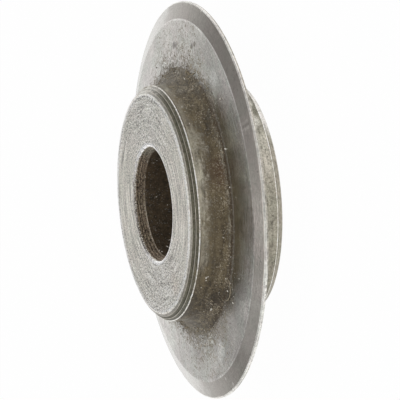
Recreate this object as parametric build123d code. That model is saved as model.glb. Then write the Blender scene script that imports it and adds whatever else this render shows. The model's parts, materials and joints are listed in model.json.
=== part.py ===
from build123d import *

import os
from math import radians, sin, tan

# Cutting wheel of a pipe cutter: one piece of hardened tool steel, turned and ground.
# A thin blade runs around the middle of two equal hubs, and a plain bore goes through both.
# The axis is +Z, and the origin is the wheel's centre, halfway between the two hub faces.
# All sizes are in millimetres.

# Blade
cutting_diameter = 19.0
edge_radius = 0.1
bevel_angle = 18.0
blade_thickness_at_bevel = 0.68
blade_thickness_at_root = 1.34
root_fillet_radius = 0.85

# Hubs
hub_diameter = 11.25
hub_width = 4.65
step_count = 2
step_width = 0.125
step_height = 0.135
step_ledge = 0.085
face_break_width = 0.155
face_break_height = 0.08

# Bore: the pin that the wheel turns on, and the countersink at each mouth
pin_diameter = 5.0
running_clearance = 0.05
countersink_width = 0.22
countersink_depth = 0.46

# Radii and heights that follow from the sizes above
hub_radius = hub_diameter / 2
bore_radius = (pin_diameter + running_clearance) / 2
face_height = hub_width / 2
hub_side_height = face_height - face_break_height - step_count * step_height

# The two bevels would meet in a point a little outside the rim, before the edge is rounded.
bevel_apex_radius = cutting_diameter / 2 + edge_radius * (1 / sin(radians(bevel_angle)) - 1)
bevel_inner_radius = bevel_apex_radius - blade_thickness_at_bevel / 2 / tan(radians(bevel_angle))


def bore_outline():
    """Points from the middle of the bore up to the hub face."""
    return [
        (bore_radius, 0),
        (bore_radius, face_height - countersink_depth),
        (bore_radius + countersink_width, face_height),
    ]


def hub_edge_outline():
    """Points from the hub face outwards, over the broken edge and down the turned steps."""
    points = [(hub_radius - step_count * step_width - face_break_width, face_height)]
    for step in reversed(range(step_count)):
        foot = hub_side_height + step * step_height
        points.append((hub_radius - (step + 1) * step_width, foot + step_height))
        points.append((hub_radius - (step + 1) * step_width + step_width - step_ledge, foot))
    points.append((hub_radius, hub_side_height))
    return points


root_corner = (hub_radius, blade_thickness_at_root / 2)
bevel_corner = (bevel_inner_radius, blade_thickness_at_bevel / 2)
apex = (bevel_apex_radius, 0)


def half_outline():
    """The upper half of the section, as (radius, height), from the bore out to the cutting edge."""
    return bore_outline() + hub_edge_outline() + [root_corner, bevel_corner, apex]


def corners_at(section, radius, height):
    """The section's corners at this radius, above and below the middle."""
    return section.vertices().filter_by(
        lambda corner: abs(corner.X - radius) < 1e-4 and abs(abs(corner.Y) - height) < 1e-4
    )


def wheel_section():
    """The whole section on one side of the axis, with its root fillets and rounded cutting edge."""
    upper = Polyline(*half_outline())
    lower = mirror(upper, about=Plane.XZ)
    section = make_face(Curve() + [upper, lower])
    section = fillet(corners_at(section, *root_corner), root_fillet_radius)
    return fillet(corners_at(section, *apex), edge_radius)


cutter_wheel = revolve(Plane.XZ * wheel_section(), axis=Axis.Z)
cutter_wheel.label = "cutter_wheel"

os.makedirs("parts", exist_ok=True)
export_step(cutter_wheel, "parts/cutter_wheel.step")
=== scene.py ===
import json
from collections import namedtuple
from math import cos, pi, radians, sin, tan
from random import Random

import bpy
import numpy as np
from mathutils import Matrix, Vector, noise


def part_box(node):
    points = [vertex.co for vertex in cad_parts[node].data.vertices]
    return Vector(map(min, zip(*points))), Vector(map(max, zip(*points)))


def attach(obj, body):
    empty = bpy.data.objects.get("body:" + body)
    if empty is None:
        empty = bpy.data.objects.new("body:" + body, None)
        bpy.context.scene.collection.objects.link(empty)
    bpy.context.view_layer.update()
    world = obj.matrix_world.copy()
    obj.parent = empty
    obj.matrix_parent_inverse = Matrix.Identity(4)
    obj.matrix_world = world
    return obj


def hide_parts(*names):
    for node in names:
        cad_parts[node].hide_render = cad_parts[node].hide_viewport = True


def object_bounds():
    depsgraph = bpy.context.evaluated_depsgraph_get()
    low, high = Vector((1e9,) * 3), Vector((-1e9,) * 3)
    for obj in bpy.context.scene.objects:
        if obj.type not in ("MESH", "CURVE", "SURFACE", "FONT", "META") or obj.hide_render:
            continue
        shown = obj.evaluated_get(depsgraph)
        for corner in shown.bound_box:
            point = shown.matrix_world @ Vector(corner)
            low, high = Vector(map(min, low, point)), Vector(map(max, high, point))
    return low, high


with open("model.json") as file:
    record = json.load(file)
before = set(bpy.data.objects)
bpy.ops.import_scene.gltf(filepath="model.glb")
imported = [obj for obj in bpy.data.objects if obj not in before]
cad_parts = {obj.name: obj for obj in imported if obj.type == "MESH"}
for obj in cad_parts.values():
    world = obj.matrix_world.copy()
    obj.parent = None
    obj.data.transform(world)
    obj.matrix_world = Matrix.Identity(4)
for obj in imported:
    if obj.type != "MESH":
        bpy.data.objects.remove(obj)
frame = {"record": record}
cad_low, cad_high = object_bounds()


# Camera
# It looks at the wheel a little above the plane of its blade, and lies on its side, so that the
# wheel's axis runs nearly level across the picture. The lens is long and the wheel fills the frame.

rim_radius = (cad_high.y - cad_low.y) / 2
view_off_axis = radians(71.18)
axis_lean = radians(5.19)
camera_distance = 50 * rim_radius
image_width = 400
rim_radius_in_image = 199.75
wheel_centre_in_image = Vector((-0.0040, 0.0008)) * rim_radius

image_right = Vector(
    (-sin(axis_lean), -cos(view_off_axis) * cos(axis_lean), -sin(view_off_axis) * cos(axis_lean))
)
image_up = Vector(
    (cos(axis_lean), -cos(view_off_axis) * sin(axis_lean), -sin(view_off_axis) * sin(axis_lean))
)
toward_camera = Vector((0, -sin(view_off_axis), cos(view_off_axis)))

camera = bpy.data.objects.new("camera", bpy.data.cameras.new("camera"))
bpy.context.scene.collection.objects.link(camera)
bpy.context.scene.camera = camera
camera.data.sensor_width = 36
camera.data.lens = (
    camera.data.sensor_width * rim_radius_in_image * camera_distance / rim_radius / image_width
)
camera.matrix_world = Matrix((image_right, image_up, toward_camera)).transposed().to_4x4()
camera.location = (
    toward_camera * camera_distance
    - image_right * wheel_centre_in_image.x
    - image_up * wheel_centre_in_image.y
)


# Table and light
# A white table in a white tent that is brightest near the horizon, with two soft lamps above. The
# camera sees both plain white, steel mirrors the table as white, and the table keeps a soft shadow.


def add_node(tree, kind, sockets, **settings):
    """A shader node. Each named or numbered socket takes a value, or the output of another node."""
    node = tree.nodes.new("ShaderNode" + kind)
    for name, value in settings.items():
        setattr(node, name, value)
    for name, value in sockets.items():
        if isinstance(value, bpy.types.NodeSocket):
            tree.links.new(value, node.inputs[name])
        else:
            node.inputs[name].default_value = value
    return node


def calc(tree, operation, *values):
    """The result of a Math node, held between 0 and 1 where the operation ends in a star."""
    settings = {"operation": operation.rstrip("*"), "use_clamp": operation.endswith("*")}
    return add_node(tree, "Math", dict(enumerate(values)), **settings).outputs[0]


def seen_white(tree, share):
    """How much plain white a ray sees, if it is the camera's, a mirrored one or one through glass."""
    rays = add_node(tree, "LightPath", {})
    direct = calc(tree, "MAXIMUM", rays.outputs["Is Camera Ray"], rays.outputs["Is Glossy Ray"])
    return calc(tree, "MULTIPLY", calc(tree, "MAXIMUM", direct, rays.outputs["Is Transmission Ray"]), share)


# Blender works in metres. The wheel's own sizes, further down, are in millimetres.
MM = 0.001
table_half_width = 0.6
gap_under_wheel = 0.004 * MM
table_white = 0.98
table_height = cad_low.z - gap_under_wheel
table_corners = ((-1, -1), (1, -1), (1, 1), (-1, 1))
table_mesh = bpy.data.meshes.new("table")
table_mesh.from_pydata(
    [(x * table_half_width, y * table_half_width, table_height) for x, y in table_corners],
    [],
    [(0, 1, 2, 3)],
)
table = bpy.data.objects.new("table", table_mesh)
bpy.context.scene.collection.objects.link(table)

table_paint = bpy.data.materials.new("table_paint")
table_paint.use_nodes = True
tree = table_paint.node_tree
tree.nodes.clear()
matt = add_node(tree, "BsdfDiffuse", {"Color": (0.92, 0.92, 0.92, 1)})
glow = add_node(tree, "Emission", {"Color": (1, 1, 1, 1), "Strength": 1.0})
white_seen = seen_white(tree, table_white)
mix = add_node(tree, "MixShader", {0: white_seen, 1: matt.outputs[0], 2: glow.outputs[0]})

# A view from below looks through the table, at the wheel's underside.
from_below = add_node(tree, "NewGeometry", {}).outputs["Backfacing"]
clear = add_node(tree, "BsdfTransparent", {})
mix = add_node(tree, "MixShader", {0: from_below, 1: mix.outputs[0], 2: clear.outputs[0]})
add_node(tree, "OutputMaterial", {"Surface": mix.outputs[0]})
table_mesh.materials.append(table_paint)

# The tent's brightness by height: share of the way from straight down to straight up, and level.
tent_levels = ((0.60, 1.0), (0.70, 0.72), (0.77, 0.40), (0.86, 0.42), (0.93, 0.60), (1.0, 0.85))
world = bpy.data.worlds.new("white_tent")
bpy.context.scene.world = world
world.use_nodes = True
tree = world.node_tree
tree.nodes.clear()
direction = add_node(tree, "SeparateXYZ", {0: add_node(tree, "TexCoord", {}).outputs["Generated"]})
height = calc(tree, "MULTIPLY_ADD", direction.outputs["Z"], 0.5, 0.5)
tent = add_node(tree, "ValToRGB", {0: height})
tent.color_ramp.interpolation = "EASE"
while len(tent.color_ramp.elements) < len(tent_levels):
    tent.color_ramp.elements.new(1)
for stop, (place, level) in zip(tent.color_ramp.elements, tent_levels):
    stop.position = place
    stop.color = (level, level, level, 1)
by_camera = add_node(tree, "LightPath", {}).outputs["Is Camera Ray"]
light = add_node(tree, "Background", {"Color": tent.outputs["Color"], "Strength": 1.0})
white = add_node(tree, "Background", {"Color": (1, 1, 1, 1), "Strength": 1.0})
mix = add_node(tree, "MixShader", {0: by_camera, 1: light.outputs[0], 2: white.outputs[0]})
add_node(tree, "OutputWorld", {"Surface": mix.outputs[0]})


def softbox(name, azimuth, elevation, distance, width, brightness):
    """A square lamp facing the wheel. Azimuth 0 is the camera's side; brightness 1 shows as white."""
    lamp = bpy.data.lights.new(name, "AREA")
    lamp.shape = "SQUARE"
    lamp.size = width
    lamp.energy = brightness * pi * width**2
    holder = bpy.data.objects.new(name, lamp)
    bpy.context.scene.collection.objects.link(holder)
    a, e = radians(azimuth), radians(elevation)
    outward = Vector((sin(a) * cos(e), -cos(a) * cos(e), sin(e)))
    holder.location = outward * distance
    holder.rotation_euler = outward.to_track_quat("Z", "Y").to_euler()


softbox("top_lamp", -150, 72, 0.40, 0.20, 0.8)
softbox("camera_side_lamp", -30, 35, 0.45, 0.16, 0.8)


# Cutter wheel: its form
# One piece of hardened tool steel, turned on a lathe from bar with both hubs, the blade and the bore,
# then ground on the blade's bevels. The section is spun round the axis, and wear is pressed into it.

wheel_box_low, wheel_box_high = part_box("cutter_wheel")
bore_mount = next(mount for mount in frame["record"]["mounts"] if mount["name"] == "axle_bore")
sides = (-wheel_box_low.x, wheel_box_high.x, -wheel_box_low.y, wheel_box_high.y)

cutting_radius = min(sides) / MM
face_height = (wheel_box_high.z - wheel_box_low.z) / 2 / MM
bore_radius = bore_mount["dims"]["r_mm"]
countersink_foot = bore_mount["dims"]["length_mm"] / 2
countersink_width = 0.22
mouth_radius = bore_radius + countersink_width
hub_radius = 5.625
step_count = 2
step_width = 0.125
step_height = 0.135
step_ledge = 0.085
face_break_width = 0.155
face_break_height = 0.08
steps_radius = hub_radius - step_count * step_width
face_radius = steps_radius - face_break_width
hub_side_height = face_height - face_break_height - step_count * step_height
ledge_height = hub_side_height + step_height
blade_half_at_root = 0.67
blade_half_at_bevel = 0.34
root_fillet = 0.85
bevel_angle = radians(18)
edge_radius = 0.1
bevel_apex = cutting_radius + edge_radius * (1 / sin(bevel_angle) - 1)
bevel_inner_radius = bevel_apex - blade_half_at_bevel / tan(bevel_angle)

# A corner of the section: how far it is rounded and the finish of the rounding, then the finish of
# the run that starts there and the length of the pieces that the run is divided into.
Corner = namedtuple("Corner", "radius height rounding arc run piece")
corners = [
    Corner(bore_radius, 0, 0, None, "bore", 0.4),
    Corner(bore_radius, countersink_foot, 0.10, "foot", "countersink", 0.03),
    Corner(mouth_radius, face_height, 0.12, "burr", "face", 0.18),
    Corner(face_radius, face_height, 0.20, "rubbed", "facet", 0.08),
    Corner(steps_radius, face_height - face_break_height, 0.03, "worn", "groove", 0.07),
    Corner(hub_radius - step_width - step_ledge, ledge_height, 0.012, "groove", "groove", 0.06),
    Corner(hub_radius - step_width, ledge_height, 0.025, "worn", "groove", 0.07),
    Corner(hub_radius - step_ledge, hub_side_height, 0.012, "groove", "groove", 0.06),
    Corner(hub_radius, hub_side_height, 0.045, "rubbed", "hub", 0.10),
    Corner(hub_radius, blade_half_at_root, root_fillet, "hub", "blade", 0.19),
    Corner(bevel_inner_radius, blade_half_at_bevel, 0.06, "blade", "bevel", 0.10),
    Corner(bevel_apex, 0, edge_radius, "edge", "edge", 0.10),
]

# The pieces that a rounding is divided into, by the radius that it has to be wider than.
arc_pieces = ((0.5, 14), (0.08, 8), (0.03, 4), (0, 2))


def rounded(before, corner, after, radius):
    """Points of the arc that rounds a corner of the section, or the corner itself where it stays sharp."""
    if radius == 0:
        return [corner]
    to_before = (before - corner) / np.linalg.norm(before - corner)
    to_after = (after - corner) / np.linalg.norm(after - corner)
    half_angle = np.arccos(to_before @ to_after) / 2
    middle = (to_before + to_after) / np.linalg.norm(to_before + to_after)
    centre = corner + middle * radius / np.sin(half_angle)
    start = corner + to_before * radius / np.tan(half_angle) - centre
    end = corner + to_after * radius / np.tan(half_angle) - centre
    turn = pi - 2 * half_angle
    count = next(pieces for limit, pieces in arc_pieces if radius > limit)
    shares = np.linspace(0, 1, count + 1)
    spokes = [np.sin((1 - s) * turn) * start + np.sin(s * turn) * end for s in shares]
    return [centre + spoke / np.sin(turn) for spoke in spokes]


def wheel_profile():
    """The closed section, as points (radius, height), and the finish of the run that follows each."""
    places = [np.array((corner.radius, corner.height), float) for corner in corners]
    around = [places[1] * (1, -1)] + places + [places[-2] * (1, -1)]
    points, finishes = [], []
    for i, corner in enumerate(corners):
        arc = rounded(around[i], places[i], around[i + 2], corner.rounding)
        if points:
            gap = arc[0] - points[-1]
            count = max(1, round(np.linalg.norm(gap) / corners[i - 1].piece))
            points += [points[-1] + gap * k / count for k in range(1, count)]
            finishes += [corners[i - 1].run] * count
        points += arc
        finishes += [corner.arc] * (len(arc) - 1)
    half = next(k for k in range(1, len(points)) if points[k][1] < 1e-9)
    points, finishes = points[: half + 1], finishes[:half]
    mirrored = [point * (1, -1) for point in points[1:-1]]
    far_side = {"hub": "far_hub", "groove": "far_groove", "facet": "far_groove", "edge": "far_edge"}
    far_finishes = [far_side.get(finish, finish) for finish in finishes[::-1]]
    return np.array(points + mirrored[::-1]), finishes + far_finishes


profile, profile_finish = wheel_profile()
turns = 400
angles = np.arange(turns) / turns * 2 * pi
spun = np.empty((turns, len(profile), 2))
spun[:] = profile


def ramp_up(values, low, high):
    """0 below low, 1 above high, and a smooth rise between them."""
    share = np.clip((values - low) / (high - low), 0, 1)
    return share * share * (3 - 2 * share)


def noise_around(fineness):
    """Noise from -1 to 1 that runs round the wheel, one value for each angle."""
    return np.array([noise.noise(Vector((sin(a), -cos(a), 0)) * fineness) for a in angles])


# The cutting edge is worn uneven and has small nicks, each with its angle, its depth in millimetres
# and half its width as an angle.
edge_wear_depth = 0.012
nick_count = 26
chance = Random(7)
edge_wear = (0.5 + 0.5 * noise_around(14)) * edge_wear_depth
nicks = [
    (chance.uniform(0, 2 * pi), chance.uniform(0.012, 0.035), chance.uniform(0.010, 0.022))
    for _ in range(nick_count)
]
nicks += [(radians(16), 0.045, 0.02), (radians(-54), 0.03, 0.015)]
for place, depth, half_width in nicks:
    away = np.abs((angles - place + pi) % (2 * pi) - pi)
    edge_wear = np.maximum(edge_wear, depth * (1 - ramp_up(away, half_width * 0.2, half_width)))
spun[:, :, 0] -= edge_wear[:, None] * ramp_up(profile[None, :, 0], cutting_radius - 0.22, cutting_radius)

# The countersink was bored with a worn tool, which left ridges inside and a ragged mouth.
ridge_pitch = 0.125
ridge_depth = 0.022
profile_height = np.abs(profile[:, 1])
in_countersink = ramp_up(profile_height, countersink_foot + 0.02, countersink_foot + 0.05)
in_countersink *= 1 - ramp_up(profile_height, face_height - 0.10, face_height - 0.07)
in_countersink *= profile[:, 0] < mouth_radius + 0.02
ridges = np.sin(profile_height / ridge_pitch * 2 * pi) * in_countersink * ridge_depth
spun[:, :, 0] += ridges[None, :]
chatter = noise_around(24)
chatter *= 0.02 + 0.10 * ramp_up(-np.cos(angles), -0.2, 0.6)
at_mouth = np.hypot(profile[:, 0] - mouth_radius, profile_height - face_height) < 0.11
spun[:, :, 0] += np.clip(chatter, 0, 1)[:, None] * at_mouth[None, :]

# Dirt has set in the root of the blade as an uneven crust.
crust_height = 0.022
profile_slope = np.roll(profile, -1, 0) - np.roll(profile, 1, 0)
outward = np.stack((-profile_slope[:, 1], profile_slope[:, 0]), 1)
outward /= np.linalg.norm(outward, axis=1)[:, None]
in_root = 1 - ramp_up(np.hypot(profile[:, 0] - hub_radius, profile_height - blade_half_at_root), 0.35, 1.0)
for k in np.nonzero((in_root > 0) & (profile[:, 0] > hub_radius - 0.01))[0]:
    for i, a in enumerate(angles):
        place = Vector((sin(a) * profile[k, 0], -cos(a) * profile[k, 0], profile[k, 1]))
        lump = noise.fractal(place * 2.6, 0.6, 2.2, 3)
        spun[i, k] += outward[k] * crust_height * in_root[k] * max(lump, 0)

# The hub's outer ring has a nick where it was knocked.
knock_angle = radians(-54.5)
knock_depth = 0.035
from_knock = np.abs((angles - knock_angle + pi) % (2 * pi) - pi) * hub_radius
at_ring = np.hypot(profile[:, 0] - hub_radius, profile[:, 1] - hub_side_height) < 0.1
spun[:, :, 0] -= knock_depth * (1 - ramp_up(from_knock, 0.03, 0.12))[:, None] * at_ring[None, :]

points = np.empty((turns, len(profile), 3))
points[:, :, 0] = np.sin(angles)[:, None] * spun[:, :, 0]
points[:, :, 1] = -np.cos(angles)[:, None] * spun[:, :, 0]
points[:, :, 2] = spun[:, :, 1]
section = len(profile)
faces = [
    (i * section + k, i * section + n, j * section + n, j * section + k)
    for i, j in zip(range(turns), [*range(1, turns), 0])
    for k, n in zip(range(section), [*range(1, section), 0])
]
finishes = list(dict.fromkeys(profile_finish))
wheel_mesh = bpy.data.meshes.new("cutter_wheel_steel")
wheel_mesh.from_pydata((points.reshape(-1, 3) * MM).tolist(), [], faces)
wheel_mesh.polygons.foreach_set("use_smooth", [True] * len(faces))
finish_numbers = [finishes.index(finish) for finish in profile_finish]
wheel_mesh.polygons.foreach_set("material_index", finish_numbers * turns)
wheel = bpy.data.objects.new("cutter_wheel_steel", wheel_mesh)
bpy.context.scene.collection.objects.link(wheel)
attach(wheel, "root")
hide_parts("cutter_wheel")


# Cutter wheel: its finishes
# The steel was turned, and its bevels ground bright. Use has left a brown film of oil and dirt on the hubs,
# thick and gritty in the root of the blade, and has rubbed the edges bright again. Some highlights,
# reflections and shade are painted into the colours.

root_line_radius = 6.34
rust_place = (1.3, -6.0, 0.75)
wiped_place = (2.9, -4.9, 1.45)


def new_group(name, values, results):
    """An empty node group with named inputs and outputs, and what its input node gives."""
    group = bpy.data.node_groups.new(name, "ShaderNodeTree")
    for socket, value in values.items():
        kind = "NodeSocketFloat" if isinstance(value, (int, float)) else "NodeSocketColor"
        group.interface.new_socket(socket, in_out="INPUT", socket_type=kind).default_value = value
    for socket, kind in results.items():
        group.interface.new_socket(socket, in_out="OUTPUT", socket_type="NodeSocket" + kind)
    return group, group.nodes.new("NodeGroupInput").outputs


def finish_group(group, results):
    """The group's output node, with its named results linked to it."""
    output = group.nodes.new("NodeGroupOutput")
    for name, value in results.items():
        group.links.new(value, output.inputs[name])


def use_group(tree, group, **values):
    """The outputs of a group placed in a material; a value's name is the socket's, in lower case."""
    node = tree.nodes.new("ShaderNodeGroup")
    node.node_tree = group
    for socket in node.inputs:
        value = values.get(socket.name.lower().replace(" ", "_"))
        if isinstance(value, bpy.types.NodeSocket):
            tree.links.new(value, socket)
        elif value is not None:
            socket.default_value = value
    return node.outputs


def rise(tree, value, low, high):
    """0 where the value is below low, 1 above high, and a smooth rise between; high may be the lower one."""
    sockets = {"Value": value, "From Min": low, "From Max": high}
    return add_node(tree, "MapRange", sockets, interpolation_type="SMOOTHSTEP").outputs["Result"]


def swing(tree, value, spread):
    """Noise turned into a swing from -1 to 1; the smaller the spread, the starker it is."""
    limits = {"From Min": 0.5 - spread, "From Max": 0.5 + spread, "To Min": -1.0, "To Max": 1.0}
    return add_node(tree, "MapRange", {"Value": value, **limits}).outputs["Result"]


def blend(tree, share, first, second, mode="MIX"):
    """Two colours mixed by a share."""
    sockets = {0: share, 6: first, 7: second}
    return add_node(tree, "Mix", sockets, data_type="RGBA", blend_type=mode).outputs[2]


def cloud(tree, vector, scale, detail=3.0, roughness=0.55, distortion=0.0):
    """Noise from 0 to 1; scale is in features for each millimetre."""
    look = {"Detail": detail, "Roughness": roughness, "Distortion": distortion}
    return add_node(tree, "TexNoise", {"Vector": vector, "Scale": scale, **look}).outputs["Fac"]


def distance_from(tree, position, place):
    """How far a position on the wheel is from a place, both in millimetres."""
    return add_node(tree, "VectorMath", {0: position, 1: place}, operation="DISTANCE").outputs["Value"]


# Where a point lies on the wheel, in millimetres. Turned follows the lathe tool: it changes
# quickly across its path and slowly around the axis. Sideways goes from 0 on the Y axis to 1 on X.
place_group, given = new_group(
    "wheel_place",
    {"Around": 1.0},
    {"Position": "Vector", "Turned": "Vector", "Radius": "Float", "Height": "Float", "Sideways": "Float"},
)
tree = place_group
in_metres = add_node(tree, "TexCoord", {}).outputs["Object"]
position = add_node(tree, "VectorMath", {0: in_metres, 1: (1 / MM,) * 3}, operation="MULTIPLY").outputs[0]
parts = add_node(tree, "SeparateXYZ", {0: position}).outputs
flat = add_node(tree, "CombineXYZ", {0: parts["X"], 1: parts["Y"]}).outputs[0]
radius = add_node(tree, "VectorMath", {0: flat}, operation="LENGTH").outputs["Value"]
height = calc(tree, "ABSOLUTE", parts["Z"])
around = calc(tree, "DIVIDE", given["Around"], radius)
turned_x = calc(tree, "MULTIPLY", parts["X"], around)
turned_y = calc(tree, "MULTIPLY", parts["Y"], around)
across = calc(tree, "MULTIPLY_ADD", height, -0.9, radius)
turned = add_node(tree, "CombineXYZ", {0: turned_x, 1: turned_y, 2: across}).outputs[0]
sideways = calc(tree, "DIVIDE", calc(tree, "ABSOLUTE", parts["X"]), radius)
sideways = calc(tree, "POWER", sideways, 2.5)
finish_group(
    place_group,
    {"Position": position, "Turned": turned, "Radius": radius, "Height": height, "Sideways": sideways},
)

# Small irregular specks: grit, pits or bright grains. They gather where the clumps are.
specks_group, given = new_group(
    "specks", {"Fineness": 10.0, "Level": 0.62, "Clumping": 0.5}, {"Mask": "Float"}
)
tree = specks_group
here = use_group(tree, place_group)
grains = cloud(tree, here["Position"], given["Fineness"], 1, 0.6)
clumps = cloud(tree, here["Position"], 1.7, 2)
even = calc(tree, "MULTIPLY", calc(tree, "SUBTRACT", clumps, 0.5), given["Clumping"])
height = calc(tree, "ADD", grains, even)
mark = rise(tree, height, given["Level"], calc(tree, "ADD", given["Level"], 0.06))
finish_group(specks_group, {"Mask": mark})

# Brown dirt that fills the root of the blade, darkest on the line where the blade begins, and that dark line
# is partly dirt and partly painted shade. It reaches further up the blade on two sides, breaks up into fine
# specks, and leaves a film on the hubs.
grime_group, given = new_group(
    "root_grime", {"Film": 0.0, "Reach": 1.15}, {"Mask": "Float", "Colour": "Color", "Relief": "Float"}
)
tree = grime_group
here = use_group(tree, place_group, around=1.0)
two_sided = here["Sideways"]
at_the_sides = calc(tree, "POWER", two_sided, 2.0)
blade_reach = calc(tree, "MULTIPLY_ADD", two_sided, 0.65, 0.80)
out_from_root = calc(tree, "MAXIMUM", calc(tree, "SUBTRACT", here["Radius"], hub_radius), 0.0)
up_from_root = calc(tree, "MAXIMUM", calc(tree, "SUBTRACT", here["Height"], blade_half_at_root), 0.0)
out_share = calc(tree, "DIVIDE", out_from_root, blade_reach)
distance = calc(tree, "MAXIMUM", out_share, calc(tree, "DIVIDE", up_from_root, given["Reach"]))
broad = swing(tree, cloud(tree, here["Position"], 0.8, 3), 0.16)
streaks = swing(tree, cloud(tree, here["Turned"], 3.0, 3, 0.7), 0.16)
fine = swing(tree, cloud(tree, here["Position"], 7.0, 3, 0.9), 0.13)
patches = calc(tree, "ADD", broad, streaks)
crumbly = calc(tree, "MULTIPLY_ADD", calc(tree, "MULTIPLY", two_sided, out_share), 0.70, 0.16)
uneven = calc(tree, "MULTIPLY", patches, calc(tree, "MULTIPLY_ADD", two_sided, 0.21, 0.10))
uneven = calc(tree, "MULTIPLY_ADD", fine, crumbly, uneven)
wiped = distance_from(tree, here["Position"], wiped_place)
wiped = rise(tree, calc(tree, "MULTIPLY_ADD", streaks, 0.2, wiped), 1.9, 0.2)
closeness = calc(tree, "ADD", calc(tree, "SUBTRACT", 1.0, distance), uneven)
closeness = calc(tree, "MULTIPLY_ADD", wiped, -0.13, closeness)
thick = rise(tree, closeness, -0.15, 0.50)
thick = calc(tree, "MULTIPLY", thick, calc(tree, "MULTIPLY_ADD", at_the_sides, -0.22, 1.0))
stray = calc(tree, "MULTIPLY_ADD", two_sided, 0.5, calc(tree, "MULTIPLY", distance, -0.25))
stray = rise(tree, stray, 0.0, 0.3)
stray = calc(tree, "MULTIPLY", stray, use_group(tree, specks_group, fineness=7.5, level=0.57)["Mask"])
film = calc(tree, "MULTIPLY_ADD*", uneven, given["Film"], given["Film"])
mask = calc(tree, "MAXIMUM", calc(tree, "MAXIMUM", thick, calc(tree, "MULTIPLY", stray, 0.5)), film)
brown, olive = (0.034, 0.022, 0.009, 1), (0.225, 0.177, 0.101, 1)
dark, rust, straw = (0.050, 0.028, 0.008, 1), (0.120, 0.055, 0.028, 1), (0.64, 0.56, 0.43, 1)
rough_here = calc(tree, "MULTIPLY_ADD", two_sided, 0.9, calc(tree, "MULTIPLY_ADD", out_share, 0.9, 0.35))
shade = calc(tree, "MULTIPLY", patches, calc(tree, "MULTIPLY_ADD", two_sided, 0.3, 0.45))
shade = calc(tree, "MULTIPLY_ADD", fine, rough_here, shade)
shade = calc(tree, "MULTIPLY_ADD", distance, 0.5, shade)
# Painted light and shade: the film is lighter near the camera's side and the side opposite, and darker
# towards the top and bottom.
shade = calc(tree, "ADD", shade, calc(tree, "MULTIPLY_ADD", two_sided, -0.76, 0.32))
colour = blend(tree, rise(tree, shade, -1.0, 1.8), brown, olive)
# The dark line where the blade begins is dirt and painted shade together.
from_line = calc(tree, "ABSOLUTE", calc(tree, "SUBTRACT", here["Radius"], root_line_radius))
root_line_dirt_and_shade = rise(tree, calc(tree, "MULTIPLY_ADD", fine, -0.08, from_line), 0.32, 0.05)
root_line_dirt_and_shade = calc(tree, "MULTIPLY", root_line_dirt_and_shade, calc(tree, "MULTIPLY_ADD", at_the_sides, -0.75, 0.95))
in_rust = distance_from(tree, here["Position"], rust_place)
in_rust = rise(tree, calc(tree, "MULTIPLY_ADD", fine, 0.35, in_rust), 1.2, 0.1)
colour = blend(tree, calc(tree, "MULTIPLY", in_rust, 0.45), colour, rust)
colour = blend(tree, root_line_dirt_and_shade, colour, dark)
mask = calc(tree, "MAXIMUM", mask, root_line_dirt_and_shade)
grit = use_group(tree, specks_group, fineness=16.0, level=0.61, clumping=0.5)["Mask"]
grit = calc(tree, "MULTIPLY", grit, calc(tree, "MULTIPLY", thick, rough_here))
colour = blend(tree, calc(tree, "MULTIPLY", grit, 0.7), colour, straw)
relief = calc(tree, "MULTIPLY", calc(tree, "MULTIPLY_ADD", fine, 0.6, grit), mask)
finish_group(grime_group, {"Mask": mask, "Colour": colour, "Relief": relief})

# Marks that the lathe tool and the wheel's work left: fine rings that come and go, and a light and
# dark mottle that is a little greenish in places and a little pinkish in others.
worked_group, given = new_group(
    "worked_steel",
    {
        "Colour": (0.5, 0.5, 0.5, 1),
        "Around": 1.0,
        "Ring pitch": 0.14,
        "Rings": 0.05,
        "Mottle": 0.06,
        "Grain": 0.08,
        "Side grain": 0.0,
        "Fineness": 5.0,
        "Tint": 0.5,
        "Pits": 0.3,
        "Sparks": 0.0,
    },
    {"Colour": "Color", "Tone": "Color", "Relief": "Float", "Gloss": "Float"},
)
tree = worked_group
here = use_group(tree, place_group, around=given["Around"])
rings_per_mm = calc(tree, "DIVIDE", 1.0, given["Ring pitch"])
rings = swing(tree, cloud(tree, here["Turned"], rings_per_mm, 1, 0.6), 0.18)
coming = rise(tree, cloud(tree, here["Position"], 0.7, 2), 0.38, 0.60)
rings = calc(tree, "MULTIPLY", rings, calc(tree, "MULTIPLY_ADD", coming, 1.2, 0.4))
mottle = swing(tree, cloud(tree, here["Position"], 1.3, 5, 0.7, 0.4), 0.2)
grain = swing(tree, cloud(tree, here["Position"], given["Fineness"], 3, 0.9), 0.15)
level = calc(tree, "MULTIPLY_ADD", rings, given["Rings"], 1)
level = calc(tree, "MULTIPLY_ADD", mottle, given["Mottle"], level)
coarse = calc(tree, "MULTIPLY_ADD", here["Sideways"], given["Side grain"], given["Grain"])
level = calc(tree, "MULTIPLY_ADD", grain, coarse, level)
pits = calc(tree, "MULTIPLY", use_group(tree, specks_group, fineness=6.0, level=0.66)["Mask"], given["Pits"])
level = calc(tree, "MULTIPLY", level, calc(tree, "MULTIPLY_ADD", pits, -0.6, 1))
tone = add_node(tree, "CombineXYZ", {0: level, 1: level, 2: level}).outputs[0]
hue = rise(tree, cloud(tree, here["Position"], 0.9, 3, 0.7, 0.6), 0.38, 0.62)
tint = blend(tree, hue, (1.03, 0.985, 0.98, 1), (0.98, 1.0, 0.965, 1))
tint = blend(tree, given["Tint"], (1, 1, 1, 1), tint)
tone = blend(tree, 1.0, tone, tint, "MULTIPLY")
colour = blend(tree, 1.0, given["Colour"], tone, "MULTIPLY")
sparks = use_group(tree, specks_group, fineness=13.0, level=0.64, clumping=0.2)["Mask"]
colour = blend(tree, calc(tree, "MULTIPLY", sparks, given["Sparks"]), colour, (0.92, 0.89, 0.83, 1))
rough = calc(tree, "SUBTRACT", calc(tree, "MULTIPLY", grain, 0.6), pits)
relief = calc(tree, "MULTIPLY_ADD", rings, 0.5, rough)
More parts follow.
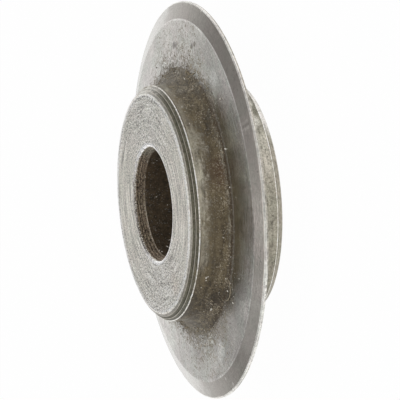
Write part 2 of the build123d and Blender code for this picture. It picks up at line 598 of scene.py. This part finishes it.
finish_group(worked_group, {"Colour": colour, "Tone": tone, "Relief": relief, "Gloss": mottle})

# A mark on the steel: its place in millimetres, the distance at which it has faded out, how much
# of it shows, and its colour.
Mark = namedtuple("Mark", "x y z size share colour")

# A band along an edge: the radius or height where it starts and where it is full, how far it is
# shifted on the two sides of the wheel, how much of it shows, and its colour.
Band = namedtuple("Band", "along start full shift share colour")


def steel(name, colour, roughness, bump, film=None, marks=(), bands=(), metallic=1.0, reach=1.15, **worked):
    """A steel finish: worked bare metal with its marks, and grime over it where a film is given."""
    material = bpy.data.materials.new(name)
    material.use_nodes = True
    tree = material.node_tree
    shader = tree.nodes["Principled BSDF"]
    shader.inputs["Metallic"].default_value = metallic
    bare = use_group(tree, worked_group, colour=(*colour, 1), **worked)
    here = use_group(tree, place_group)
    shown, relief = bare["Colour"], bare["Relief"]
    worn = calc(tree, "MULTIPLY_ADD", bare["Gloss"], 0.03, roughness)
    changes = []
    for band in bands:
        place = calc(tree, "MULTIPLY_ADD", bare["Relief"], 0.035, here[band.along])
        place = calc(tree, "MULTIPLY_ADD", here["Sideways"], -band.shift, place)
        share = calc(tree, "MULTIPLY", rise(tree, place, band.start, band.full), band.share)
        changes.append((share, band.colour))
    for mark in marks:
        away = distance_from(tree, here["Position"], (mark.x, mark.y, mark.z))
        away = calc(tree, "MULTIPLY_ADD", bare["Gloss"], mark.size * 0.2, away)
        share = calc(tree, "MULTIPLY", rise(tree, away, mark.size, mark.size * 0.4), mark.share)
        changes.append((share, mark.colour))
    for share, new_colour in changes:
        toned = blend(tree, 1.0, bare["Tone"], (*new_colour, 1), "MULTIPLY")
        shown = blend(tree, share, shown, toned)
    if film is not None:
        grime = use_group(tree, grime_group, film=film, reach=reach)
        shown = blend(tree, grime["Mask"], shown, grime["Colour"])
        tree.links.new(calc(tree, "MULTIPLY_ADD", grime["Mask"], -0.8, 1.0), shader.inputs["Metallic"])
        worn = calc(tree, "MULTIPLY_ADD", grime["Mask"], 0.6 - roughness, worn)
        relief = calc(tree, "MULTIPLY_ADD", grime["Relief"], 2.0, relief)
    tree.links.new(shown, shader.inputs["Base Color"])
    tree.links.new(worn, shader.inputs["Roughness"])
    bump_node = add_node(tree, "Bump", {"Strength": bump, "Distance": 0.02 * MM, "Height": relief})
    tree.links.new(bump_node.outputs[0], shader.inputs["Normal"])
    return material


rubbed_colour, soot = (0.78, 0.75, 0.70), (0.10, 0.09, 0.08)

# The hub's face has small pits and a warm stain, and painted highlights at its rim and around the mouth.
pit_places = ((3.97, 0.22), (3.82, 1.32), (4.41, 0.55), (3.68, 1.66), (-3.79, -1.16), (-3.09, -1.95))
face_marks = [Mark(x, y, face_height, 0.11, 0.75, soot) for x, y in pit_places]
face_marks.append(Mark(-3.9, -2.2, face_height, 0.7, 0.5, (0.58, 0.51, 0.44)))
face_rim_highlights = [
    Band("Radius", 4.93, 5.08, 0.11, 0.95, (0.97, 0.95, 0.92)),
    Band("Radius", mouth_radius + 0.14, mouth_radius + 0.09, 0.06, 0.95, (1.0, 0.98, 0.95)),
]

# The countersink has painted light and shade in rings along the tool's ridges, and old oil darkens places on
# it.
ridge_light_and_shade = []
for ridge in range(4):
    start = countersink_foot + 0.035 + 0.1 * ridge
    ridge_light_and_shade.append(Band("Height", start, start + 0.02, 0.0, 0.6, (0.45, 0.37, 0.28)))
    ridge_light_and_shade.append(Band("Height", start + 0.04, start + 0.06, 0.0, 0.8, (0.145, 0.115, 0.085)))
mouth_shade = [Mark(-0.6, 2.9, 2.3, 3.3, 0.9, (0.13, 0.105, 0.085))]
oily_top = [Mark(2.7, 0.2, 2.1, 1.6, 0.75, (0.32, 0.305, 0.25))]
dark_foot = [Mark(1.8, 1.6, 1.9, 3.2, 0.9, (0.20, 0.155, 0.115))]

# The near hub's side has painted light in the middle, where it faces the camera, and painted shade at one
# end, with a dark line just below its steps.
hub_bands = [Band("Height", hub_side_height - 0.12, hub_side_height - 0.07, 0.0, 0.8, (0.07, 0.06, 0.045))]
hub_light_and_shade = [
    Mark(1.2, -5.5, 1.7, 2.7, 0.75, (0.63, 0.60, 0.505)),
    Mark(-0.5, -5.6, 1.3, 1.9, 0.55, (0.62, 0.58, 0.48)),
    Mark(-4.9, -2.8, 1.5, 3.0, 0.9, (0.085, 0.07, 0.052)),
]
clean_rings = [Mark(5.3, 1.9, 2.1, 4.2, 0.7, (0.95, 0.92, 0.87))]

# The far hub is patchier: two bright spots between darker places, and steps painted light as a reflection of
# the white table.
far_hub_marks = [
    Mark(2.9, -4.8, -1.5, 2.9, 0.5, (0.68, 0.65, 0.57)),
    Mark(4.3, -3.6, -1.85, 1.6, 0.65, (0.20, 0.19, 0.155)),
    Mark(3.6, -4.3, -2.05, 1.5, 0.7, (0.22, 0.21, 0.17)),
    Mark(3.5, -4.4, -1.30, 0.7, 0.8, (0.95, 0.92, 0.84)),
    Mark(4.3, -3.6, -1.25, 0.7, 0.8, (0.95, 0.92, 0.84)),
    Mark(-3.6, -4.3, -1.7, 3.0, 0.45, (0.24, 0.225, 0.18)),
]
far_steps_reflection = [Mark(4.3, -3.7, -2.1, 2.3, 0.85, (0.97, 0.95, 0.92))]

# The ground blade has broad stains, specks of soot and spots that are rubbed bright, and a painted highlight
# where it turns into the bevel.
blade_marks = [
    Mark(-6.4, -4.4, 0.4, 3.6, 0.60, (0.28, 0.27, 0.25)),
    Mark(-7.6, 1.6, 0.4, 4.8, 0.65, (0.34, 0.33, 0.31)),
    Mark(6.6, -4.6, 0.4, 2.4, 0.30, (0.34, 0.33, 0.31)),
    Mark(6.8, 4.0, 0.4, 3.6, 0.30, (0.34, 0.33, 0.31)),
    # Painted reflection: these three darken the blade on the camera's side, where it mirrors the hub's dark
    # side.
    Mark(1.2, -7.45, 0.5, 1.25, 0.42, (0.22, 0.21, 0.19)),
    Mark(-0.1, -7.8, 0.4, 1.2, 0.42, (0.22, 0.21, 0.19)),
    Mark(-1.4, -7.75, 0.4, 1.2, 0.42, (0.22, 0.21, 0.19)),
    Mark(7.44, 0.27, 0.45, 0.24, 0.8, soot),
    Mark(7.42, -0.02, 0.45, 0.20, 0.7, soot),
    Mark(7.26, -2.26, 0.42, 0.22, 0.8, soot),
    Mark(7.36, -2.62, 0.42, 0.20, 0.6, soot),
    Mark(-7.10, -2.6, 0.42, 0.50, 0.5, (0.80, 0.80, 0.78)),
    Mark(-7.42, -2.2, 0.42, 0.45, 0.4, (0.78, 0.78, 0.76)),
    Mark(-6.91, -1.22, 0.45, 0.30, 0.4, (0.20, 0.20, 0.19)),
    Mark(-7.35, 0.7, 0.45, 1.1, 0.45, (0.34, 0.31, 0.29)),
    Mark(4.75, -5.05, 0.5, 0.45, 0.5, (0.86, 0.87, 0.84)),
    Mark(5.55, -5.0, 0.5, 0.65, 0.4, (0.80, 0.80, 0.78)),
    Mark(5.3, -4.3, 0.5, 0.5, 0.45, (0.25, 0.24, 0.22)),
    Mark(-4.9, -4.55, 0.5, 1.0, 0.65, (0.26, 0.235, 0.19)),
    Mark(-5.9, -3.2, 0.5, 1.1, 0.65, (0.26, 0.235, 0.19)),
]
corner_radius = bevel_inner_radius - 0.02
blade_corner_highlight = [Band("Radius", corner_radius - 0.11, corner_radius, 0.0, 0.75, (0.82, 0.81, 0.79))]

# The bevel has a few bright nicks, and is stained and lightened in broad places, with a painted highlight on
# its far side. A scuff runs across it: a dark line between two bright ones, each made of four marks.
bevel_marks = [
    Mark(8.88, -3.08, 0.10, 0.08, 0.8, rubbed_colour),
    Mark(-8.82, -2.91, 0.14, 0.12, 0.9, (0.95, 0.94, 0.91)),
    Mark(-8.55, -2.32, 0.28, 0.11, 0.8, (0.95, 0.94, 0.91)),
]
scuff_lines = ((22.4, 0.15, rubbed_colour), (21.3, 0.16, soot), (20.3, 0.25, rubbed_colour))
for step in range(4):
    scuff_radius = 8.70 + 0.15 * step
    scuff_height = (bevel_apex - scuff_radius) * tan(bevel_angle)
    for angle, share, colour in scuff_lines:
        x, y = scuff_radius * sin(radians(angle)), -scuff_radius * cos(radians(angle))
        bevel_marks.append(Mark(x, y, scuff_height, 0.14, share, colour))
bevel_marks += [
    Mark(-6.0, -7.0, 0.2, 3.2, 0.75, (0.62, 0.59, 0.55)),
    Mark(-8.8, -1.6, 0.1, 4.4, 0.60, (0.33, 0.31, 0.28)),
    # A painted highlight lightens the bevel on its far side, above and below.
    Mark(7.9, 4.9, 0.1, 4.6, 0.9, (0.66, 0.65, 0.62)),
    Mark(-7.9, 4.9, 0.1, 4.6, 0.9, (0.66, 0.65, 0.62)),
]
edge_marks = [
    Mark(0.8, -9.5, 0.0, 5.5, 0.4, (0.42, 0.40, 0.36)),
    Mark(-6.3, -7.1, 0.0, 4.6, 0.7, (0.90, 0.89, 0.85)),
]

# Each finish: its name, bare colour, roughness and bump, its film of oil, and its marks and bands.
looks = {
    # The bore is dark brown all over, with a few bright specks.
    "bore": steel(
        "oiled_bore", (0.080, 0.056, 0.030), 0.6, 0.4,
        metallic=0.3, grain=0.6, pits=0.0, sparks=0.2,
    ),
    "foot": steel(
        "countersink_foot", (0.66, 0.58, 0.48), 0.4, 0.3, None, dark_foot,
        grain=0.6, fineness=8.0,
    ),
    "countersink": steel(
        "rough_countersink", (0.28, 0.225, 0.165), 0.5, 0.8, None, oily_top, ridge_light_and_shade,
        rings=0.0, mottle=0.3, grain=1.2, fineness=12.0, pits=0.0, sparks=1.0,
    ),
    "burr": steel("bright_burr", (1.0, 0.99, 0.97), 0.2, 0.1, None, mouth_shade, grain=0.1, sparks=0.9),
    "rubbed": steel(
        "rubbed_edges", (1.0, 0.96, 0.88), 0.32, 0.2, 0.05,
        mottle=0.3, grain=0.55, fineness=8.0,
    ),
    "worn": steel("worn_step", (0.62, 0.58, 0.51), 0.35, 0.2, 0.1, clean_rings, mottle=0.3, grain=0.2),
    "face": steel(
        "faced_steel", (0.645, 0.618, 0.56), 0.38, 0.4, None, face_marks, face_rim_highlights,
        around=0.3, ring_pitch=0.11, rings=0.30, grain=0.6, side_grain=1.1, fineness=12.0, sparks=0.25,
    ),
    "facet": steel(
        "broken_edge", (0.36, 0.34, 0.305), 0.35, 0.3, 0.08, clean_rings,
        grain=0.5, fineness=9.0,
    ),
    # The grooves between the steps are dark with dirt and with painted shade.
    "groove": steel(
        "dirty_steps", (0.13, 0.125, 0.095), 0.4, 0.3, 0.08, clean_rings,
        grain=0.6, fineness=9.0,
    ),
    "far_groove": steel(
        "far_steps", (0.36, 0.34, 0.285), 0.36, 0.3, 0.1, far_steps_reflection,
        reach=0.3, grain=0.3,
    ),
    "hub": steel(
        "filmed_hub", (0.40, 0.37, 0.30), 0.36, 0.4, 0.35, hub_light_and_shade, hub_bands,
        rings=0.35, mottle=0.15, grain=0.35, fineness=9.0,
    ),
    "far_hub": steel(
        "far_hub", (0.37, 0.35, 0.29), 0.36, 0.4, 0.06, far_hub_marks,
        reach=0.3, rings=0.18, mottle=0.15, grain=0.45, fineness=9.0,
    ),
    "blade": steel(
        "ground_blade", (0.54, 0.53, 0.50), 0.05, 0.15, 0.0, blade_marks, blade_corner_highlight,
        rings=0.03, mottle=0.17, grain=0.24, fineness=9.0, tint=1.3,
    ),
    "bevel": steel(
        "ground_bevel", (0.385, 0.36, 0.33), 0.2, 0.1, None, bevel_marks,
        ring_pitch=0.07, mottle=0.05, grain=0.08,
    ),
    "edge": steel(
        "keen_edge", (0.84, 0.82, 0.78), 0.3, 0.3, None, edge_marks,
        mottle=0.25, grain=0.22, fineness=9.0,
    ),
    "far_edge": steel("stained_edge", (0.44, 0.41, 0.35), 0.3, 0.3, None, edge_marks, mottle=0.3, grain=0.5),
}
for finish in finishes:
    wheel_mesh.materials.append(looks[finish])


# Grit in the roots
# Sand, scale and a few fibres, caught in old oil in both roots of the blade, with slivers of steel at
# the mouth and dust in the bore. Each grain is a closed chip, half sunk in what it sticks to, and
# each fibre is a bent tube.

grain_count = 2000
sliver_count = 80
dust_count = 70
fibre_count = 12
fillet_rise = 0.76
blade_foot_radius = 6.35
brown_grit, straw_grit, pale_grit = range(3)
chance = Random(11)
grit_points, grit_faces, grit_kinds = [], [], []


def root_place(radius, angle, side, lift=0.0):
    """A point on the blade or its root fillet, in mm: side is 1 for the upper root, -1 for the lower."""
    upper = (profile[:, 1] > 0) & (profile[:, 0] > hub_radius + 0.005) & (profile[:, 0] < bevel_inner_radius)
    height = np.interp(radius, profile[upper, 0], profile[upper, 1])
    return Vector((sin(angle) * radius, -cos(angle) * radius, side * (height + lift)))


def add_grain(centre, size, kind):
    """A longish chip with six corners, each at its own distance from the middle."""
    turn = Vector([chance.gauss(0, 1) for _ in range(3)]).to_track_quat("Z", "Y")
    start = len(grit_points)
    for axis in ((0.7, 0, 0), (-0.7, 0, 0), (0, 0.7, 0), (0, -0.7, 0), (0, 0, 1.5), (0, 0, -1.5)):
        grit_points.append((centre + turn @ Vector(axis) * size * chance.uniform(0.5, 1.3)) * MM)
    for corner in range(8):
        x, y, z = start + corner % 2, start + 2 + corner // 2 % 2, start + 4 + corner // 4
        grit_faces.append((x, y, z) if (x + y + z - 3 * start) % 2 == 0 else (x, z, y))
        grit_kinds.append(kind)


def add_fibre(path, radius):
    """A bent tube with three sides, closed at both ends."""
    start = len(grit_points)
    for k, centre in enumerate(path):
        along = (path[min(k + 1, len(path) - 1)] - path[max(k - 1, 0)]).normalized()
        turn = along.to_track_quat("Z", "Y")
        for corner in range(3):
            a = corner * 2 * pi / 3
            grit_points.append((centre + turn @ Vector((cos(a), sin(a), 0)) * radius) * MM)
    grit_kinds.extend([straw_grit] * (3 * len(path) - 1))
    grit_faces.append((start, start + 2, start + 1))
    for k in range(len(path) - 1):
        for corner in range(3):
            here, beside = start + 3 * k + corner, start + 3 * k + (corner + 1) % 3
            grit_faces.append((here, beside, beside + 3, here + 3))
    last = start + 3 * (len(path) - 1)
    grit_faces.append((last, last + 1, last + 2))


# A draw says where a grain lies: on the hub, in the fillet, on the root line or out on the blade,
# where the grains thin out and reach further on two sides.
hub_draws, fillet_draws, line_draws = 0.06, 0.28, 0.55
for number in range(grain_count):
    side = 1 if number % 2 else -1
    angle = chance.uniform(0, 2 * pi)
    two_sides = sin(angle) ** 2
    draw = chance.random()
    size = chance.uniform(0.018, 0.040) * (1.5 if chance.random() < 0.08 else 1)
    kind = chance.choices((brown_grit, straw_grit, pale_grit), (3, 5, 3))[0]
    if draw < hub_draws:
        height = chance.uniform(blade_half_at_root + fillet_rise, hub_side_height - 0.1)
        centre = Vector((sin(angle) * hub_radius, -cos(angle) * hub_radius, side * height))
    elif draw < fillet_draws:
        centre = root_place(chance.uniform(5.66, 6.30), angle, side, 0.01)
    elif draw < line_draws:
        kind = brown_grit if chance.random() < 0.3 else straw_grit
        centre = root_place(chance.gauss(root_line_radius - 0.10, 0.12), angle, side, 0.02)
    else:
        kind = pale_grit if chance.random() < 0.1 + 0.5 * two_sides else brown_grit
        way_out = chance.expovariate(1 / (0.16 + 0.26 * two_sides)) % 1.4
        centre = root_place(blade_foot_radius + way_out, angle, side)
        size *= 0.6 + 0.4 * two_sides
    add_grain(centre, size, kind)

# Single crumbs that catch the light: radius or height in mm, angle in degrees, and size.
blade_crumbs = (
    (7.44, 38.6, 0.085),
    (6.40, 4.0, 0.06),
    (6.62, 20.0, 0.06),
    (5.85, -18.5, 0.06),
    (6.15, -38.5, 0.06),
    (6.42, -43.2, 0.07),
    (7.13, -44.3, 0.06),
    (5.90, -61.5, 0.075),
    (6.00, 74.0, 0.07),
    (6.10, 84.0, 0.06),
    (5.95, 62.0, 0.06),
    (7.55, -68.0, 0.06),
)
for radius, angle, size in blade_crumbs:
    add_grain(root_place(radius, radians(angle), 1, 0.02), size, pale_grit)
hub_crumbs = (
    (1.46, -40.9, 0.08),
    (1.36, -40.2, 0.055),
    (1.60, -47.0, 0.05),
    (1.62, 52.0, 0.05),
    (1.60, 40.0, 0.05),
)
for height, angle, size in hub_crumbs:
    angle = radians(angle)
    add_grain(Vector((sin(angle) * hub_radius, -cos(angle) * hub_radius, height)), size, pale_grit)

# Bright slivers of steel stand on the ragged side of the bore's mouth, none above the hub's face.
for number in range(sliver_count):
    angle = chance.uniform(radians(120), radians(262))
    drop = chance.uniform(0.01, 0.06)
    centre = Vector((sin(angle), -cos(angle), 0)) * (mouth_radius - 0.02 - 0.5 * drop)
    centre.z = face_height - drop
    add_grain(centre, chance.uniform(0.03, 0.05), pale_grit)
    for point in grit_points[-6:]:
        point.z = min(point.z, face_height * MM)

# A little dust has settled in the bore.
for number in range(dust_count):
    angle = chance.uniform(0, 2 * pi)
    centre = Vector((sin(angle), -cos(angle), 0)) * bore_radius
    centre.z = chance.uniform(-1, 1) * countersink_foot
    add_grain(centre, chance.uniform(0.025, 0.06), pale_grit)

# A loop of yellow fibre near the lower end of the visible root, a bent one near its upper end, and
# short ones anywhere.
loop = [(6.15, -37.5), (6.45, -38.0), (6.68, -40.5), (6.74, -43.5), (6.66, -46.5), (6.48, -48.5)]
add_fibre([root_place(radius, radians(angle), 1, 0.03) for radius, angle in loop], 0.016)
bend = [(6.55, 66.0), (6.40, 68.0), (6.28, 71.0), (6.30, 74.0), (6.42, 75.5)]
add_fibre([root_place(radius, radians(angle), 1, 0.03) for radius, angle in bend], 0.02)
for number in range(fibre_count):
    radius, angle = chance.uniform(5.9, 6.5), chance.uniform(0, 2 * pi)
    heading, curl = chance.uniform(0, 2 * pi), chance.uniform(-0.9, 0.9)
    path = []
    for step in range(6):
        path.append(root_place(radius, angle, 1 if number % 2 else -1, 0.02))
        radius += 0.06 * cos(heading)
        angle += 0.06 * sin(heading) / radius
        heading += curl
    add_fibre(path, 0.013)

grit_mesh = bpy.data.meshes.new("root_grit")
grit_mesh.from_pydata([tuple(point) for point in grit_points], [], grit_faces)
grit = bpy.data.objects.new("root_grit", grit_mesh)
bpy.context.scene.collection.objects.link(grit)
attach(grit, "root")

for name, colour in (
    ("brown_grit", (0.13, 0.09, 0.05, 1)),
    ("straw_grit", (0.47, 0.395, 0.275, 1)),
    ("pale_grit", (0.92, 0.88, 0.79, 1)),
):
    material = bpy.data.materials.new(name)
    material.use_nodes = True
    shader = material.node_tree.nodes["Principled BSDF"]
    shader.inputs["Base Color"].default_value = colour
    shader.inputs["Roughness"].default_value = 0.5
    grit_mesh.materials.append(material)
grit_mesh.polygons.foreach_set("material_index", grit_kinds)


# View
# The view settings are the plain ones.

bpy.context.scene.view_settings.view_transform = "Standard"
